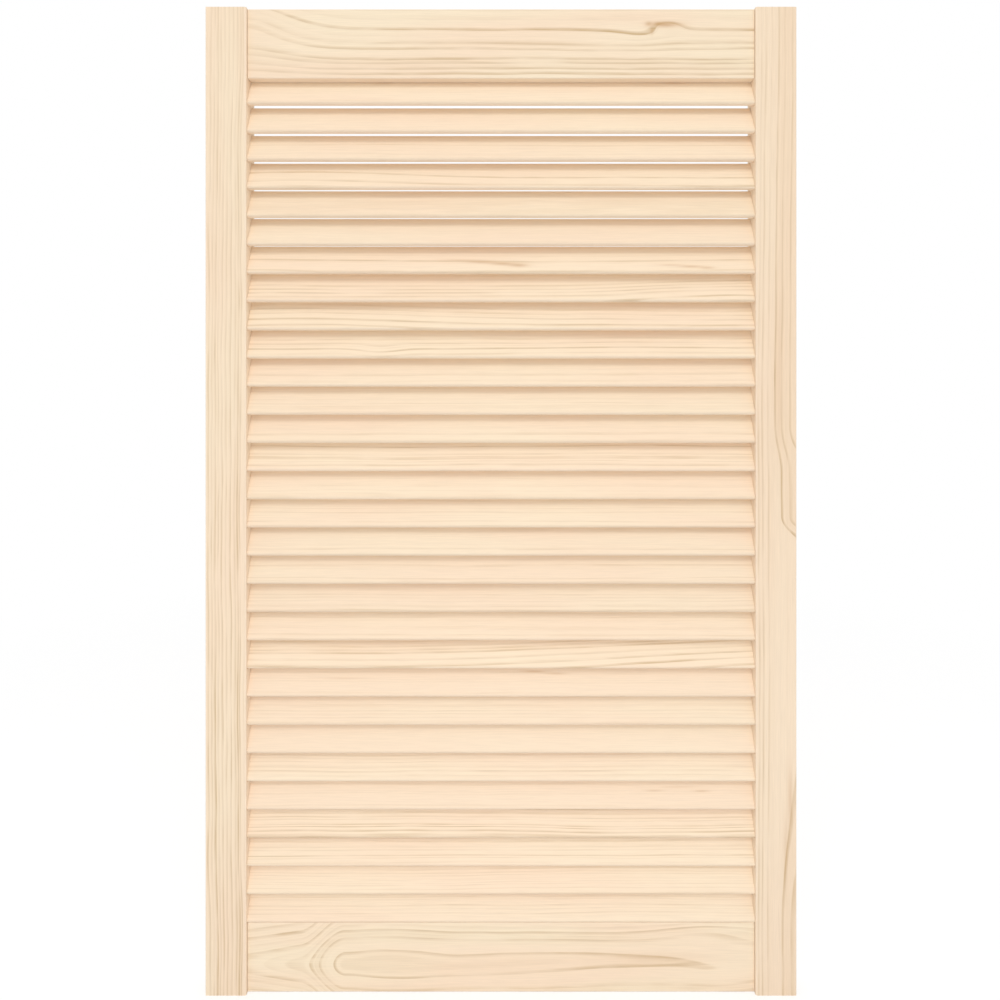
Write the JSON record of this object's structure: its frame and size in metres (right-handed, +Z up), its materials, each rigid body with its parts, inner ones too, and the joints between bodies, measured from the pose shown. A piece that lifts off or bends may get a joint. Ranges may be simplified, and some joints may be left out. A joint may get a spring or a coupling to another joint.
{
  "type": "louvred cabinet door",
  "caption": "Flat framed louvred door in bare pine: two stiles and two rails round a ladder of fixed leaning slats, for a vented cabinet or wardrobe front.",
  "frame": {"origin": "middle of the door's bottom edge, halfway through its thickness", "axes": "+Z up the door, +X to the right seen from the front, front face towards -Y"},
  "size_m": [0.594, 0.021, 0.993],
  "materials": {
    "stile_pine": "planed, unfinished",
    "rail_pine": "planed, unfinished",
    "slat_pine": "planed, unfinished",
    "dowel_beech": "turned, fluted"
  },
  "bodies": {
    "root": {"stile_left": "stile_pine", "stile_right": "stile_pine", "top_rail": "rail_pine", "bottom_rail": "rail_pine", "slat_01": "slat_pine", "slat_02": "slat_pine", "slat_03": "slat_pine", "slat_04": "slat_pine", "slat_05": "slat_pine", "slat_06": "slat_pine", "slat_07": "slat_pine", "slat_08": "slat_pine", "slat_09": "slat_pine", "slat_10": "slat_pine", "slat_11": "slat_pine", "slat_12": "slat_pine", "slat_13": "slat_pine", "slat_14": "slat_pine", "slat_15": "slat_pine", "slat_16": "slat_pine", "slat_17": "slat_pine", "slat_18": "slat_pine", "slat_19": "slat_pine", "slat_20": "slat_pine", "slat_21": "slat_pine", "slat_22": "slat_pine", "slat_23": "slat_pine", "slat_24": "slat_pine", "slat_25": "slat_pine", "slat_26": "slat_pine", "slat_27": "slat_pine", "slat_28": "slat_pine", "slat_29": "slat_pine", "slat_30": "slat_pine", "dowel_bottom_left_lower": "dowel_beech", "dowel_bottom_left_upper": "dowel_beech", "dowel_bottom_right_lower": "dowel_beech", "dowel_bottom_right_upper": "dowel_beech", "dowel_top_left_lower": "dowel_beech", "dowel_top_left_upper": "dowel_beech", "dowel_top_right_lower": "dowel_beech", "dowel_top_right_upper": "dowel_beech"}
  },
  "joints": []
}
